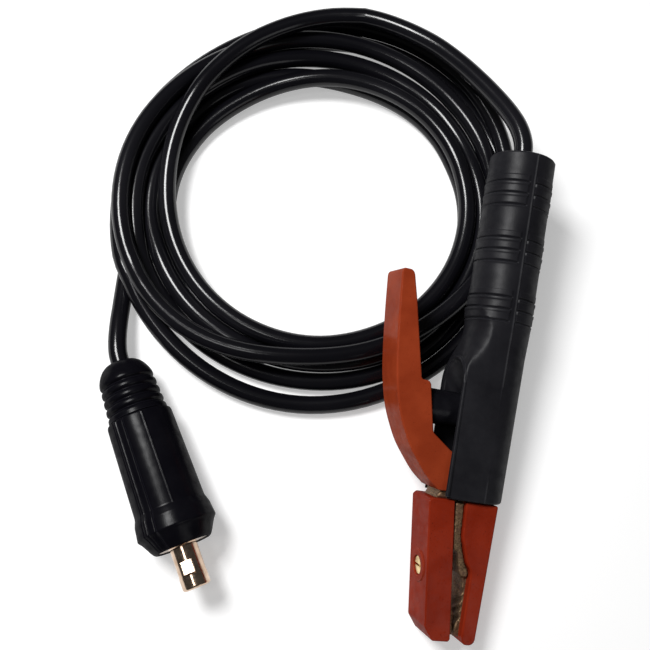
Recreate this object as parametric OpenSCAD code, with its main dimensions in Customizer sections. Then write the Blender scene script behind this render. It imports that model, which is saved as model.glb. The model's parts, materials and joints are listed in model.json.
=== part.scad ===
// Welding electrode holder with its coiled cable and bayonet plug, in millimetres.
// +Z is up and +Y runs along the holder towards its cable. The origin is on the table,
// below the middle of the holder.
// The holder's own frame: Y along the handle from its front face, -X towards the lever,
// Z across the lever. The plug's own frame: -Y along the plug from the rear of its boot.

/* [Handle] */
// Length of the handle grip
handle_len = 162; // [158:1:170]
// Radius of the grip at its ring bands
handle_r = 15.8; // [15.4:0.1:16.4]
// Radius of the hollow inside the grip
handle_bore_r = 11.4; // [11.2:0.1:11.8]
// Depth of each ring groove
groove_depth = 0.8; // [0.4:0.1:1.2]
// Height of the slot walls above the handle's axis
slot_wall_top = 17.7; // [17:0.1:18.5]
// Length of the slot that the lever works in
slot_len = 60; // [58:1:62]

/* [Jaws] */
// Length of the jaw covers in front of the handle
jaw_len = 63.5; // [62:0.5:65]
// Width of the jaw covers
jaw_cover_w = 20.6; // [20:0.2:22]
// Width of the brass jaws
jaw_w = 13; // [12:0.5:13.5]

/* [Lever] */
// Width of the lever cover
lever_w = 20; // [19.6:0.1:20.4]
// Radius of the pivot pin
pivot_r = 2.5; // [2:0.1:3]
// Distance of the pivot behind the handle's front face
pivot_y = 11; // [10.5:0.5:11.5]
// Height of the pivot above the handle's axis
pivot_height = 9; // [8.8:0.1:9.2]
// Turns of the lever spring
spring_turns = 8; // [6:1:9]

/* [Cable] */
// Outside diameter of the cable
cable_d = 9; // [8:0.2:9.2]
// Diameter of the bare conductor
conductor_d = 5.6; // [4:0.2:6.4]
// Inner radius of the coil
coil_inner_r = 69; // [66:1:72]
// Outer radius of the coil
coil_outer_r = 108; // [106:1:110]
// Height of the coil
coil_h = 20; // [18:1:21]

/* [Plug] */
// Length of the rubber boot
boot_len = 91.5; // [90:0.5:93]
// Radius of the boot's collar
collar_r = 18.3; // [17.5:0.1:19]
// Radius of the plug's pin at its front
pin_r = 6.5; // [6.4:0.1:6.8]
// Length of the plug's pin
pin_len = 19.5; // [18.5:0.5:21]

/* [Placing] */
// Roll of the holder about its length, lever side up
holder_roll = 15; // [12:1:18]
// Pitch of the holder, cable end up
holder_pitch = 9; // [8.5:0.5:9.5]

/* [Hidden] */
cut = 60;
round_fn = 96;
screw_fn = 48;
cable_r = cable_d / 2;
conductor_r = conductor_d / 2;
ferrule_r = 4.25;
conductor_gap = 0.05;
through = 40;

// Slotted screws: shank, the hole for it, its way through a cover, its head and the head's recess
shank_r = 1.95;
tapped_r = 2;
clear_r = 2.1;
head_r = 3.3;
recess_r = 3.6;
tapped_depth = 9;
slot_w = 1;
slot_depth = 0.9;

// Set screws: their square socket
socket_w = 2.4;
socket_depth = 2;

// The holder's frame stands here in the object's frame.
holder_at = [20, -49, 21.3];

// Handle: ring grooves, as distances from the grip's rear end
groove_pitch = 5.5;
groove_bands = [14.4, 41, 68.2];
groove_half_w = 0.6;
parting_strip_w = 5;
slot_half_w = 10.6;
slot_wall_outer = 13.2;
outlet_wall = 12;
handle_screw_y = 88;

// Jaws: the upper jaw slopes by this much sideways for each step along
jaw_slope = 0.127;
jaw_slope_deg = atan(jaw_slope);
jaw_rear_y = -0.5;
cover_wall = 3.2;
jaw_screw_y = -32.5;

// The lower cover: its outer face at y, its wall outside the brass and its round corner
function lower_outer_x(y) = 9.1 + y * 0.028;

lower_wall = 2.8;
lower_corner_r = 3;

// Tip of the brass jaws
brass_tip_y = -61;

// Pivot: the lever's barrel, the washers and the lower arm's lugs, outward from the middle
barrel_half_w = 3.4;
washer_in = 3.5;
lug_in = 4.2;
lug_out = 7;
pin_half_len = 8.4;
clip_r = 4;
clip_mouth = 2.4;
washer_r = 5.4;
barrel_r = 6;
pivot_x = -pivot_height;

// Lever: half width of the brass inside the cover, and of the hollow for it
arm_half_w = 7.4;
hollow_half_w = 7.6;

// Spring, sleeve and seat
spring_y = 39.5;
spring_r = 3.9;
wire_r = 0.65;
seat_top = 0.5;
seat_r = 4.6;
seat_hole_r = 2;
arm_floor = -1.5;
sleeve_r = 8;
sleeve_bore_r = 6.4;
sleeve_low = 10.5;
sleeve_crown = 27;

// Cable socket inside the handle
socket_y0 = 58;
socket_y1 = 92;
socket_r = 8.5;
socket_bore_r = 4.9;
conductor_y0 = 66.5;
conductor_len = 27;
set_screw_r = 2.95;
set_screw_ys = [72, 82];

// Coil: its centre on the table
coil_at = [-72, 89];
coil_corner = 8;

// Cable between the handle and the coil, and between the coil and the plug
tail_route = [[20, 111, 46.6], [19.2, 119, 47.3], [16.3, 127, 46.8], [11.4, 135, 45], [4.3, 144, 42.2],
    [-4.5, 153.5, 39.1], [-15, 163.5, 35.6], [-27.5, 173, 32.1], [-41.5, 180.3, 28.9],
    [-55.5, 185, 26.6], [-68, 187.2, 25]];
lead_route = [[-162.5, 59, 4.6], [-163.6, 47, 4.6], [-163.5, 37, 4.9], [-162.7, 27, 6],
    [-161.5, 17, 8.2], [-160.3, 8, 10.6], [-158.8, -0.5, 12.4], [-156.9, -7.4, 13.3],
    [-154.3, -12.8, 13.6]];
cable_sides = 12;

// Plug: where the rear end of its boot stands, its heading and how far its pin end rises
plug_rear_at = [-154.3, -12.8, 13.6];
plug_heading = 31.2;
plug_pitch = 3.8;
plug_len = boot_len + pin_len;

// Shape helpers

// Stands a shape drawn in the holder's frame where the holder lies.
module holder_frame() {
    translate(holder_at)
        rotate([holder_pitch, 0, 0])
            rotate([0, holder_roll, 0])
                children();
}

// Stands a shape drawn along -Y from the boot's rear end where the plug lies.
module plug_frame() {
    translate(plug_rear_at)
        rotate([0, 0, plug_heading])
            rotate([-plug_pitch, 0, 0])
                children();
}

// Lays a round shape drawn along +Z along +Y, starting at y = start. Its seam stands clear of
// the screw holes on both sides.
module along_y(start) {
    translate([0, start, 0])
        rotate([-90, 0, 0])
            rotate([0, 0, 45])
                children();
}

// Lays a shape drawn along +Z along the lever side, outward from the height given.
module towards_lever(y, height) {
    translate([-height, y, 0])
        rotate([0, -90, 0])
            children();
}

// Slab of a plan outline, from half_w below the lever plane to half_w above it.
module slab(half_w, outline) {
    translate([0, 0, -half_w])
        linear_extrude(2 * half_w)
            polygon(outline);
}

// Same shape on both sides of the lever plane, between two distances from it.
module both_sides(near, far) {
    for (side = [0, 1])
        mirror([0, 0, side])
            translate([0, 0, near])
                linear_extrude(far - near)
                    children();
}

// Rectangle with round corners, centred.
module rounded_rect(size, r) {
    square([size.x - 2 * r, size.y], center = true);
    square([size.x, size.y - 2 * r], center = true);
    for (sx = [-1, 1], sy = [-1, 1])
        translate([sx * (size.x / 2 - r), sy * (size.y / 2 - r)])
            circle(r, $fn = cut);
}

// Slotted screw along -Z with the top of its head at z = 0.
module slotted_screw(top_r, top_h, stem_r, length) {
    difference() {
        union() {
            translate([0, 0, -top_h])
                cylinder(r = top_r, h = top_h, $fn = screw_fn);
            translate([0, 0, -length])
                cylinder(r = stem_r, h = length, $fn = screw_fn);
        }
        translate([-top_r, -slot_w / 2, -slot_depth])
            cube([2 * top_r, slot_w, 2 * slot_depth]);
    }
}

// Round hole along -Z to the depth given, open above z = 0.
module hole(r, depth) {
    translate([0, 0, -depth])
        cylinder(r = r, h = depth + through / 2, $fn = screw_fn);
}

// Set screw along -Z with a square socket in its top at z = 0.
module set_screw(r, length) {
    difference() {
        translate([0, 0, -length])
            cylinder(r = r, h = length, $fn = screw_fn);
        translate([-socket_w / 2, -socket_w / 2, -socket_depth])
            cube([socket_w, socket_w, 2 * socket_depth]);
    }
}

// Sweeping a tube along a route

function unit(v) = v / norm(v);

// Point on the smooth curve through the route's points, at t steps from its start.
function route_point(route, t) =
    let (last = len(route) - 1,
         i = min(floor(t), last - 1),
         f = t - i,
         a = route[max(i - 1, 0)],
         b = route[i],
         c = route[i + 1],
         d = route[min(i + 2, last)])
    0.5 * (2 * b + (c - a) * f + (2 * a - 5 * b + 4 * c - d) * pow(f, 2)
        + (3 * b - a - 3 * c + d) * pow(f, 3));

function route_heading(route, t) =
    let (last = len(route) - 1, e = 0.02)
    unit(route_point(route, min(t + e, last)) - route_point(route, max(t - e, 0)));

// Ring of points square to the heading, with its first point level.
function ring(centre, heading, r, sides) =
    let (level = unit(cross([0, 0, 1], heading)), rise = cross(heading, level))
    [for (k = [0:sides - 1])
        let (a = 360 * k / sides)
        centre + r * (cos(a) * level + sin(a) * rise)];

// Closed solid through a list of rings that all have the same number of points.
module tube_through(rings, sides) {
    count = len(rings);
    points = [for (one = rings) each one];
    walls = [for (i = [0:count - 2], k = [0:sides - 1])
        let (n = (k + 1) % sides, a = i * sides, b = a + sides)
        each [[a + k, b + k, b + n], [a + k, b + n, a + n]]];
    near_cap = [for (k = [0:sides - 1]) k];
    far_cap = [for (k = [sides - 1:-1:0]) (count - 1) * sides + k];
    polyhedron(points, concat([near_cap, far_cap], walls), convexity = 6);
}

module cable_along(route, rings_per_step) {
    steps = (len(route) - 1) * rings_per_step;
    tube_through([for (i = [0:steps])
        ring(route_point(route, i / rings_per_step), route_heading(route, i / rings_per_step),
            cable_r, cable_sides)], cable_sides);
}

// Handle

// Outline of the grip: radius and distance from its front face
grip_outline = [[0, 0], [handle_r - 2.8, 0], [handle_r - 2.2, 1], [handle_r - 1.2, 64],
    [handle_r - 0.4, 78], [handle_r, 82], [handle_r, handle_len - 12],
    [handle_r - 0.4, handle_len - 8], [handle_r - 0.5, handle_len - 2],
    [handle_r - 1.6, handle_len], [0, handle_len]];

module grip_body() {
    along_y(0)
        rotate_extrude($fn = round_fn)
            polygon(grip_outline);
    slab(slot_wall_outer, [[-slot_wall_top, 0], [0, 0], [0, slot_len + 12],
        [-slot_wall_top + 2, slot_len + 4], [-slot_wall_top, slot_len]]);
}

// Ring groove that stops short of the parting line's raised strip on either side
module ring_groove(from_rear) {
    difference() {
        along_y(handle_len - from_rear - groove_half_w)
            rotate_extrude($fn = round_fn)
                polygon([[handle_r + 1, 0], [handle_r - groove_depth, 0],
                    [handle_r - groove_depth, 0.4], [handle_r + 1, 2 * groove_half_w + 0.8]]);
        translate([-parting_strip_w / 2, 0, -handle_r - 2])
            cube([parting_strip_w, handle_len, 2 * handle_r + 4]);
    }
}

module slot_space() {
    translate([-40, -1, -slot_half_w])
        cube([40, slot_len + 1 - slot_half_w, 2 * slot_half_w]);
    towards_lever(slot_len - slot_half_w, 0)
        cylinder(r = slot_half_w, h = 40, $fn = cut);
}

module handle_grip() {
    color("#2b2b2e")
        holder_frame()
            difference() {
                grip_body();
                along_y(-1)
                    cylinder(r = handle_bore_r, h = handle_len + 1 - outlet_wall, $fn = round_fn);
                along_y(0)
                    cylinder(r = cable_r + 0.3, h = handle_len + 1, $fn = cut);
                slot_space();
                for (band = groove_bands, i = [0:2])
                    ring_groove(band + i * groove_pitch);
                handle_screw_at()
                    hole(clear_r, handle_r - handle_bore_r + 4);
                handle_screw_at()
                    hole(recess_r + 0.1, 1);
            }
}

// The handle screw enters from the side away from the lever.
module handle_screw_at() {
    translate([handle_r - 1.6, handle_screw_y, 0])
        rotate([0, 90, 0])
            children();
}

module handle_screw() {
    color("#b09a5e")
        holder_frame()
            handle_screw_at()
                translate([0, 0, 0.9])
                    slotted_screw(head_r + 0.1, 1.9, shank_r, 8.4);
}

// Lower arm: jaw, pivot lugs, spring floor and cable socket in one casting

// Plan outline, as x and y
lower_brass_edge = [[lower_outer_x(brass_tip_y) - lower_wall, brass_tip_y],
    [lower_outer_x(0) - lower_wall, 0]];
lower_arm_outline = [each lower_brass_edge, [8.5, 2], [8.5, 62], [-arm_floor, 62],
    [-arm_floor, 17.5], [-1.5, 17.5], [-1.5, 4.5], [-7, 4.5], [-9.6, 0], [-8.2, -22],
    [-3, -25], [-4.4, -28], [-3.2, -34], [-1.2, -37], [-1.2, -53], [-2, -57], [-2, brass_tip_y]];

// Shoulder that stands up between the two jaw covers
shoulder_half_w = 8.8;
shoulder_outline = [[-7.3, -1.5], [-11.2, -1.5], [-11, -8], [-9.3, -22], [-6.6, -24], [-5.8, -29],
    [-4.4, -33.5], [-0.6, -34], [-0.6, -31.6], [-3.2, -27], [-5.4, -20.5], [-6.8, -15]];

// Rod grooves across the lower jaw: each one's distance along it and its slant
rod_grooves = [[-41, 0], [-48, -30], [-52, -30], [-56, -30]];
rod_r = 1.6;
rod_x = -1.9;

// The lugs that carry the pivot pin
lug_r = 6.5;

module lower_arm() {
    color("#b08d57")
        holder_frame()
            difference() {
                union() {
                    slab(jaw_w / 2, lower_arm_outline);
                    slab(shoulder_half_w, shoulder_outline);
                    both_sides(lug_in, lug_out)
                        lug_outline();
                    along_y(socket_y0)
                        cylinder(r = socket_r, h = socket_y1 - socket_y0, $fn = round_fn);
                }
                lug_gap();
                along_y(conductor_y0 - 0.5)
                    cylinder(r = socket_bore_r, h = through, $fn = cut);
                pivot_bore();
                for (y = set_screw_ys)
                    towards_lever(y, 0)
                        cylinder(r = set_screw_r + 0.05, h = through, $fn = screw_fn);
                for (groove = rod_grooves)
                    translate([rod_x, groove[0], 0])
                        rotate([groove[1], 0, 0])
                            cylinder(r = rod_r, h = through, center = true, $fn = screw_fn);
                lower_screw_at()
                    hole(tapped_r, tapped_depth);
                handle_screw_at()
                    hole(tapped_r, tapped_depth + 0.4);
            }
}

module lug_outline() {
    translate([pivot_x, pivot_y])
        circle(lug_r, $fn = cut);
    translate([pivot_x, pivot_y - lug_r])
        square([pivot_height + 4, 2 * lug_r]);
}

module pivot_bore() {
    translate([pivot_x, pivot_y, 0])
        cylinder(r = pivot_r + 0.05, h = through, center = true, $fn = cut);
}

// Room between the lugs for the lever's barrel
module lug_gap() {
    slab(lug_in, [[-30, 4.5], [-1.5, 4.5], [-1.5, 17.6], [-30, 17.6]]);
}

// The lower jaw's screw enters from the side away from the lever.
module lower_screw_at() {
    translate([lower_outer_x(jaw_screw_y) - 1, jaw_screw_y, 0])
        rotate([0, 90, 0])
            children();
}

lower_corner_at = [lower_outer_x(-jaw_len) - lower_corner_r, lower_corner_r - jaw_len];
lower_cover_outline = [[lower_outer_x(-0.6), -0.6], [-7, -0.6], [-6.4, -15], [-5, -20], [-2.6, -27],
    [0.3, -31], [0.3, 3 - jaw_len], [2.2, -jaw_len],
    for (a = [-90:15:0])
        lower_corner_at + lower_corner_r * [cos(a), sin(a)]];

module lower_jaw_cover() {
    color("#96301f")
        holder_frame()
            difference() {
                slab(jaw_cover_w / 2, lower_cover_outline);
                slab(jaw_w / 2, [[-20, 1], [-20, brass_tip_y], each lower_brass_edge,
                    [lower_outer_x(0) - lower_wall, 1]]);
                lower_screw_at()
                    hole(clear_r, cover_wall);
                lower_screw_at()
                    hole(recess_r, 0.9);
            }
}

module lower_jaw_screw() {
    color("#c8a765")
        holder_frame()
            lower_screw_at()
                translate([0, 0, 0.6])
                    slotted_screw(head_r, 1.5, shank_r, 8.6);
}

// Cable end inside the handle

// Foil sleeve round the conductor, along +Z
module ferrule(length) {
    difference() {
        cylinder(r = ferrule_r, h = length, $fn = cut);
        cylinder(r = conductor_r + conductor_gap, h = 3 * length, center = true, $fn = cut);
    }
}

module cable_set_screws() {
    color("#8d8f93")
        holder_frame()
            for (y = set_screw_ys)
                towards_lever(y, socket_r - 0.2)
                    set_screw(set_screw_r, 4);
}

module cable_ferrule() {
    color("#c77b4a")
        holder_frame()
            along_y(conductor_y0 + 0.5)
                ferrule(conductor_len - 1);
}

module cable_conductor() {
    color("#c77b4a")
        holder_frame()
            along_y(conductor_y0)
                cylinder(r = conductor_r, h = conductor_len, $fn = cut);
}

module cable_in_handle() {
    color("#151516")
        holder_frame()
            along_y(conductor_y0 + conductor_len)
                cylinder(r = cable_r, h = handle_len - conductor_y0 - conductor_len, $fn = cut);
}

// Pivot

module pivot_pin() {
    color("#9a9ca0")
        holder_frame()
            translate([pivot_x, pivot_y, -pin_half_len])
                cylinder(r = pivot_r, h = 2 * pin_half_len, $fn = cut);
}

module pivot_clips() {
    color("#55575b")
        holder_frame()
            both_sides(lug_out + 0.3, lug_out + 1)
                translate([pivot_x, pivot_y])
                    difference() {
                        circle(clip_r, $fn = cut);
                        circle(pivot_r + 0.02, $fn = cut);
                        translate([0, -clip_mouth / 2])
                            square([clip_r + 1, clip_mouth]);
                    }
}

module pivot_washers() {
    color("#6b3d25")
        holder_frame()
            both_sides(washer_in, lug_in - 0.1)
                translate([pivot_x, pivot_y])
                    difference() {
                        circle(washer_r, $fn = cut);
                        circle(pivot_r + 0.1, $fn = cut);
                    }
}

// Lever spring and its seat

module spring_seat() {
    color("#3a3a3c")
        holder_frame()
            towards_lever(spring_y, arm_floor)
                difference() {
                    cylinder(r = seat_r, h = seat_top - arm_floor, $fn = cut);
                    cylinder(r = seat_hole_r, h = through, center = true, $fn = cut);
                }
}

module lever_spring() {
    sides = 6;
    rings_per_turn = 14;
    rise = sleeve_crown - seat_top - 2 * wire_r - 0.4;
    count = spring_turns * rings_per_turn;
    color("#b9bbbf")
        holder_frame()
            towards_lever(spring_y, seat_top + wire_r + 0.2)
                tube_through([for (i = [0:count])
                    let (a = 360 * i / rings_per_turn,
                         place = [spring_r * cos(a), spring_r * sin(a), rise * i / count],
                         heading = unit([-sin(a), cos(a), rise / (spring_turns * 2 * PI * spring_r)]))
                    ring(place, heading, wire_r, sides)], sides);
}

// Lever body

// Edge of the upper jaw cover that faces the lower jaw, and its outer edge, at y
function jaw_inner_x(y) = -12.75 - (y - jaw_rear_y) * jaw_slope;

function jaw_outer_x(y) = jaw_inner_x(y) - 12.5;

upper_brass_edge = [[jaw_outer_x(-4) + cover_wall, -4], [jaw_outer_x(-54.5) + cover_wall, -54.5],
    [-10.4, brass_tip_y + 0.5]];
upper_jaw_outline = [[-2.6, brass_tip_y + 0.5], [-3.6, -51], [-5.2, -46], [jaw_inner_x(-42), -42],
    [jaw_inner_x(jaw_rear_y), jaw_rear_y], [-13.4, 1.5], [-16.4, 4], [-18.8, 4], [-21, -1.2],
    each upper_brass_edge];

lever_core_outline = [[-13.4, jaw_rear_y + 0.3], [-16.4, 4], [-16.4, 19.5], [-21, 22],
    [-30.4, 28.8], [-35.2, 48], [-40.6, 50], [-42, 61], [-47, 61], [-45.6, 50], [-43.4, 41],
    [-38.8, 29], [-30.5, 16.5], [-19.4, 4.5], [-19.4, 1.5], [-20.4, jaw_rear_y + 0.3]];

module upper_arm() {
    color("#b08d57")
        holder_frame()
            difference() {
                union() {
                    slab(jaw_w / 2, upper_jaw_outline);
                    slab(arm_half_w, lever_core_outline);
                    slab(barrel_half_w, [[-18, 5], [-18, 17], [pivot_x, 17], [pivot_x, 5]]);
                    translate([pivot_x, pivot_y, 0])
                        cylinder(r = barrel_r, h = 2 * barrel_half_w, center = true, $fn = cut);
                }
                pivot_bore();
                upper_screw_at()
                    hole(tapped_r, tapped_depth);
                cover_screw_at()
                    hole(cover_screw_r + 0.05, tapped_depth);
            }
}

// Outline of the lever cover, from its front lower corner round its tip
lever_cover_outline = [[-15, 3], [-21.3, 3], [-27.6, 8], [-33.2, 14.3], [-38.2, 20.7],
    [-42.1, 27.7], [-45.2, 34.5], [-47.4, 41.5], [-49.6, 51], [-51.3, 62.7], [-53.2, 80],
    [-54.6, 96.5], [-53.8, 98], [-49.6, 98], [-48.2, 96], [-45.6, 86], [-37.3, 50.6],
    [-33.4, 50.4], [-32.5, 49], [-27.9, 28], [-18.4, 21.3], [-15, 19.6]];

lever_hollow_outline = [[-10, 0], [-10, 19.5], [-16.4, 19.5], [-21, 22], [-30.4, 28.8],
    [-35.2, 48], [-40.6, 50], [-42, 61], [-47, 61], [-45.6, 50], [-43.4, 41], [-38.8, 29],
    [-30.5, 16.5], [-19.4, 4.5], [-19.4, 0]];

module lever_cover() {
    color("#b8452a")
        holder_frame()
            difference() {
                slab(lever_w / 2, lever_cover_outline);
                slab(hollow_half_w, lever_hollow_outline);
                cover_screw_at()
                    hole(cover_screw_r + 0.15, tapped_depth + 3);
                cover_screw_at()
                    hole(cover_screw_head_r + 0.2, cover_screw_head_h);
            }
}

// The cover's screw enters from the handle side, near the end of the brass.
cover_screw_r = 1.55;
cover_screw_head_r = 2.9;
cover_screw_head_h = 1.2;

module cover_screw_at() {
    translate([-39, 57, 0])
        rotate([0, 0, 13])
            rotate([0, 90, 0])
                children();
}

module lever_cover_screw() {
    color("#b09a5e")
        holder_frame()
            cover_screw_at()
                slotted_screw(cover_screw_head_r, cover_screw_head_h, cover_screw_r, 6.5);
}

upper_cover_outline = [[jaw_inner_x(jaw_rear_y), jaw_rear_y], [jaw_inner_x(2 - jaw_len), 2 - jaw_len],
    [jaw_inner_x(-jaw_len) - 1, 0.9 - jaw_len], [-13.4, 0.7 - jaw_len],
    [jaw_outer_x(-57), -57], [jaw_outer_x(-2), -2], [jaw_outer_x(-2) + 1.5, jaw_rear_y]];

upper_hollow_outline = [[jaw_inner_x(0) + 3, 0.5], [jaw_inner_x(brass_tip_y) + 5, brass_tip_y + 0.5],
    for (i = [2, 1, 0]) upper_brass_edge[i], [-21, -1.2], [-21, 0.5]];

// The upper jaw's screw stands square to the cover's outer face, on its boss.
boss_r = 7.2;
boss_h = 0.7;
upper_head_r = 3.9;
upper_head_h = 1.6;

module upper_screw_at() {
    translate([jaw_outer_x(jaw_screw_y), jaw_screw_y, 0])
        rotate([0, 0, jaw_slope_deg])
            rotate([0, -90, 0])
                children();
}

module upper_jaw_cover() {
    color("#96301f")
        holder_frame()
            difference() {
                union() {
                    slab(jaw_cover_w / 2, upper_cover_outline);
                    upper_screw_at()
                        translate([0, 0, -1])
                            cylinder(r = boss_r, h = 1 + boss_h, $fn = cut);
                }
                slab(jaw_w / 2, upper_hollow_outline);
                upper_screw_at()
                    hole(clear_r, tapped_depth);
                upper_screw_at()
                    hole(upper_head_r + 0.4, upper_head_h);
            }
}

module upper_jaw_screw() {
    color("#c8a765")
        holder_frame()
            upper_screw_at()
                slotted_screw(upper_head_r, upper_head_h, shank_r, 8.4);
}

// Sleeve over the spring, cut to the slope of the lever's pad
module spring_sleeve() {
    color("#1d1d1f")
        holder_frame()
            difference() {
                intersection() {
                    towards_lever(spring_y, sleeve_low)
                        cylinder(r = sleeve_r, h = 30, $fn = cut);
                    slab(sleeve_r + 1, [[0, 28], [-27.9, 28], [-32.5, 49], [0, 49]]);
                }
                towards_lever(spring_y, sleeve_low - 1)
                    cylinder(r = sleeve_bore_r, h = sleeve_crown - sleeve_low + 1, $fn = cut);
            }
}

// Cable and coil

module cable_tail() {
    color("#151516")
        cable_along(tail_route, 3);
}

module cable_coil() {
    color("#151516")
        translate([coil_at.x, coil_at.y, coil_h / 2])
            rotate_extrude($fn = round_fn)
                translate([(coil_inner_r + coil_outer_r) / 2, 0])
                    rounded_rect([coil_outer_r - coil_inner_r, coil_h], coil_corner);
}

module plug_lead() {
    color("#151516")
        cable_along(lead_route, 3);
}

// Plug, drawn along -Y from the boot's rear end

// Boot outline: radius and distance from the rear end
boot_rings = [6.6, 12.3, 18, 23.7];

// Radius of a bellows ring at t
function ring_r(t) = 12.8 + 0.065 * t;

boot_outline = [[0, 0], [9, 0], [11.6, 1.4],
    for (t = boot_rings) each [[ring_r(t) - 1.2, t - 2.75], [ring_r(t), t - 1.5],
        [ring_r(t), t + 1.5], [ring_r(t) - 1.2, t + 2.75]],
    [15.5, 28.5], [16, 48], [16.6, 70], [collar_r - 0.4, 76.5], [collar_r, 77.5],
    [collar_r, boot_len - 4], [collar_r - 1, boot_len - 2.4], [12, boot_len], [0, boot_len]];
plug_body_r = 9;
plug_body_start = 52;
plug_conductor_len = 22.5;
plug_set_screw_ts = [57.5, 65.5];
plug_set_screw_len = 3.9;

// Pin, as distances in front of the boot: a neck, the key lug on it, and the front land
neck_r = 6.35;
neck_len = 13.3;
tip_chamfer = 1;
lug_start = 7;
lug_len = 6;
key_w = 5.5;
key_h = 2.6;

// Lays a shape drawn along +Z along the plug, towards its pin, from the distance given.
module down_plug(t) {
    translate([0, -t, 0])
        rotate([90, 0, 0])
            children();
}

module plug_boot() {
    color("#1d1d1f")
        plug_frame()
            difference() {
                down_plug(0)
                    rotate_extrude($fn = round_fn)
                        polygon(boot_outline);
                down_plug(-1)
                    cylinder(r = cable_r + 0.1, h = boot_len, $fn = cut);
                down_plug(plug_body_start - 0.5)
                    cylinder(r = plug_body_r + 0.1, h = boot_len, $fn = round_fn);
            }
}

module plug_pin() {
    color("#caa27a")
        plug_frame()
            difference() {
                union() {
                    down_plug(plug_body_start)
                        cylinder(r = plug_body_r, h = boot_len - plug_body_start, $fn = round_fn);
                    down_plug(boot_len - 1)
                        cylinder(r = neck_r, h = 1 + neck_len, $fn = round_fn);
                    down_plug(boot_len + neck_len)
                        cylinder(r = pin_r, h = pin_len - neck_len - tip_chamfer, $fn = round_fn);
                    down_plug(plug_len - tip_chamfer)
                        cylinder(r1 = pin_r, r2 = pin_r - tip_chamfer, h = tip_chamfer,
                            $fn = round_fn);
                    translate([-key_w / 2, -boot_len - lug_start - lug_len, 0])
                        cube([key_w, lug_len, pin_r + key_h]);
                }
                down_plug(plug_body_start - 1)
                    cylinder(r = socket_bore_r, h = plug_conductor_len + 1.5, $fn = cut);
                for (t = plug_set_screw_ts)
                    translate([0, -t, 0])
                        cylinder(r = set_screw_r + 0.05, h = through, $fn = screw_fn);
            }
}

module plug_set_screws() {
    color("#8d8f93")
        plug_frame()
            for (t = plug_set_screw_ts)
                translate([0, -t, plug_body_r - 0.7])
                    set_screw(set_screw_r, plug_set_screw_len);
}

module plug_ferrule() {
    color("#c77b4a")
        plug_frame()
            down_plug(plug_body_start)
                ferrule(plug_conductor_len - 2.5);
}

module plug_conductor() {
    color("#c77b4a")
        plug_frame()
            down_plug(plug_body_start - 2)
                cylinder(r = conductor_r, h = plug_conductor_len, $fn = cut);
}

module plug_cable_end() {
    color("#151516")
        plug_frame()
            down_plug(0)
                cylinder(r = cable_r, h = plug_body_start - 2, $fn = cut);
}

handle_grip();
lower_arm();
lower_jaw_cover();
lower_jaw_screw();
handle_screw();
cable_set_screws();
cable_ferrule();
cable_conductor();
cable_in_handle();
pivot_pin();
pivot_clips();
pivot_washers();
spring_seat();
lever_spring();
upper_arm();
lever_cover();
upper_jaw_cover();
upper_jaw_screw();
lever_cover_screw();
spring_sleeve();
cable_tail();
cable_coil();
plug_lead();
plug_boot();
plug_pin();
plug_set_screws();
plug_ferrule();
plug_conductor();
plug_cable_end();
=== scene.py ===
"""Looks of a welding electrode holder with its coiled cable and bayonet plug.

Shapes are drawn in millimetres in the frame of the part that they belong to, as in the CAD
source: the holder has Y along its handle, -X towards its lever and Z across; the plug has -Y
along it from the rear of its boot, and Z up.
"""
import json
import math

import bmesh
import bpy
import numpy as np
from mathutils import Matrix, Vector, noise


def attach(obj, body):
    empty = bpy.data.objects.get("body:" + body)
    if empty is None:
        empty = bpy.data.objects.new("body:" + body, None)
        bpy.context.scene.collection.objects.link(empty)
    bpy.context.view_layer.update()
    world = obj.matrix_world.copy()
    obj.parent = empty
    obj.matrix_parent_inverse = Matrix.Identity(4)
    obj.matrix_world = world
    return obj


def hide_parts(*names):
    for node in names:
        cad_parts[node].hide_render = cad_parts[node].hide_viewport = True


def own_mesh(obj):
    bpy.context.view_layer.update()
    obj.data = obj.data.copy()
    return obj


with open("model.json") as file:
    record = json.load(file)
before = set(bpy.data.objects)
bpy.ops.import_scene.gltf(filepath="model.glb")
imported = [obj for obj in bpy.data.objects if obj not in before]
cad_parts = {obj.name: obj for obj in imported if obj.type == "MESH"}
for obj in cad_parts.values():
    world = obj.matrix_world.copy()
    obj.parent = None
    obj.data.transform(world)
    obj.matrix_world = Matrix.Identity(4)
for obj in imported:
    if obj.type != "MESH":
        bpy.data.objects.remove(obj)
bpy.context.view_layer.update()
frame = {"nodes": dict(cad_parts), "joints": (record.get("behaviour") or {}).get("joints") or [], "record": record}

MM = 0.001
TAU = 2 * math.pi

# Camera, in metres and degrees
CAMERA_TARGET = Vector((-0.0601, 0.0260, 0))
CAMERA_ELEVATION = 77
CAMERA_ROLL = 9.5
CAMERA_DISTANCE = 0.415
CAMERA_LENS = 45.1

# Lights in metres and watts: name, place, aim, side of the square and power
LIGHTS = (("key", (-0.42, 0.22, 0.80), (-0.06, 0.03, 0), 0.26, 8),
          ("fill", (0.85, -0.75, 0.75), (-0.06, 0.03, 0), 0.6, 1.6),
          ("accent", (-0.255, -0.09, 0.78), (-0.13, -0.07, 0), 0.12, 0.4))
WORLD_STRENGTH = 0.06
FLOOR_HALF = 3
FLOOR_DROP = 0.0002

# Where the record's two mounts and its joint lie in the parts' own frames
GROOVE_AT = Vector((-1.9, -41, 0))
PIVOT_AT = Vector((-9, 11, 0))
PIN_MOUNT_Y = -107.4

# Handle: its front is tapered, and its slot stands between raised walls that fade into a ramp
HANDLE_LEN = 162
GRIP_R = 15.35
FRONT_LEN = 64
FRONT_R = 13.55
FRONT_REAR_R = 14.6
SWELL_END = 84
RAMP_START, RAMP_END = 56, 92
SLOT_WALL_TOP = 17.9
WALL_REACH = 19
WALL_ROUNDING, RAMP_ROUNDING = 0.6, 64

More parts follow.
